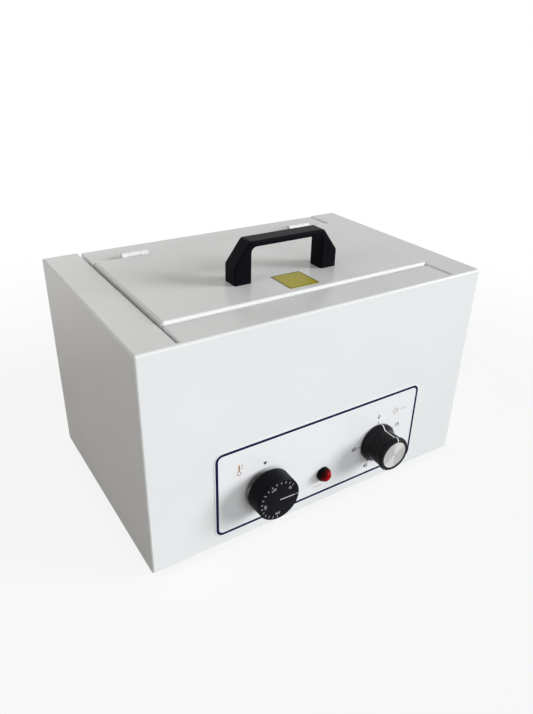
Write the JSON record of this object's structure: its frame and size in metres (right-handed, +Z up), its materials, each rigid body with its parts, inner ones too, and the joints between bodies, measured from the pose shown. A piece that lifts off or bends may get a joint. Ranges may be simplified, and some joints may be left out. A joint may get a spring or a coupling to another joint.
{
  "type": "dry heat sterilizer",
  "caption": "Benchtop dry heat sterilizer: white sheet-steel cabinet with a hinged top lid, bridge handle, thermostat dial, pilot lamp and timer knob.",
  "frame": {"origin": "on the bench, under the middle of the outer box", "axes": "+X to the right along the front, +Y to the back, +Z up; the controls face -Y"},
  "size_m": [0.34, 0.2488, 0.2445],
  "materials": {
    "powder_coat": "glossy white powder coat",
    "galvanised": "galvanised sheet",
    "stainless": "brushed stainless steel",
    "zinc_screw": "zinc-plated steel",
    "black_plastic": "satin black moulding",
    "phenolic": "brown phenolic",
    "spun_aluminium": "spun aluminium",
    "plate_aluminium": "rolled aluminium",
    "red_lens": "red translucent lens",
    "panel_print": "printed film",
    "yellow_film": "yellow film",
    "silicone": "pale silicone rubber",
    "rubber_foot": "black rubber",
    "wool": "mineral wool",
    "heater_sheath": "heat-tinted steel sheath",
    "copper": "copper tube",
    "nickel": "nickel-plated brass"
  },
  "bodies": {
    "cabinet": {"outer_casing": "powder_coat", "rear_cover": "powder_coat", "inner_deck": "powder_coat", "base_plate": "galvanised", "chamber_tank": "stainless", "lid_gasket": "silicone", "left_hinge_rear_leaf": "powder_coat", "left_hinge_pin": "zinc_screw", "right_hinge_rear_leaf": "powder_coat", "right_hinge_pin": "zinc_screw", "panel_overlay": "panel_print", "thermostat_housing": "phenolic", "thermostat_screws": "zinc_screw", "timer_housing": "galvanised", "timer_nut": "nickel", "lamp_body": "black_plastic", "lamp_lens": "red_lens", "heat_spreader": "plate_aluminium", "heating_element": "heater_sheath", "element_clamps": "stainless", "chamber_insulation": "wool", "insulation_jacket": "galvanised", "sensing_bulb": "copper", "instrument_tray": "stainless", "mains_inlet": "black_plastic", "inlet_blades": "nickel", "inlet_screws": "zinc_screw", "terminal_block": "phenolic", "thermal_cutout": "phenolic", "foot_front_left": "rubber_foot", "foot_front_right": "rubber_foot", "foot_rear_left": "rubber_foot", "foot_rear_right": "rubber_foot", "foot_screws": "zinc_screw", "foot_nuts": "zinc_screw", "rear_cover_screws": "zinc_screw", "base_screws": "zinc_screw"},
    "lid": {"lid_shell": "powder_coat", "lid_inner_pan": "stainless", "lid_insulation": "wool", "lid_handle": "black_plastic", "handle_screws": "zinc_screw", "lid_sticker": "yellow_film", "left_hinge_lid_leaf": "powder_coat", "right_hinge_lid_leaf": "powder_coat"},
    "thermostat_dial": {"thermostat_knob": "black_plastic", "thermostat_spindle": "zinc_screw"},
    "timer_dial": {"timer_knob": "black_plastic", "timer_knob_inlay": "spun_aluminium", "timer_spindle": "zinc_screw"}
  },
  "joints": [
    {"name": "lid_hinge", "type": "hinge", "parent": "cabinet", "child": "lid", "pos_m": [0, 0.08695, 0.209], "axis": [-1, 0, 0], "range_deg": [0, 100]},
    {"name": "thermostat_turn", "type": "hinge", "parent": "cabinet", "child": "thermostat_dial", "pos_m": [-0.0625, -0.09805, 0.051], "axis": [0, 1, 0], "range_deg": [-90, 180]},
    {"name": "timer_turn", "type": "hinge", "parent": "cabinet", "child": "timer_dial", "pos_m": [0.0635, -0.09805, 0.051], "axis": [0, 1, 0], "range_deg": [-20, 250]}
  ]
}
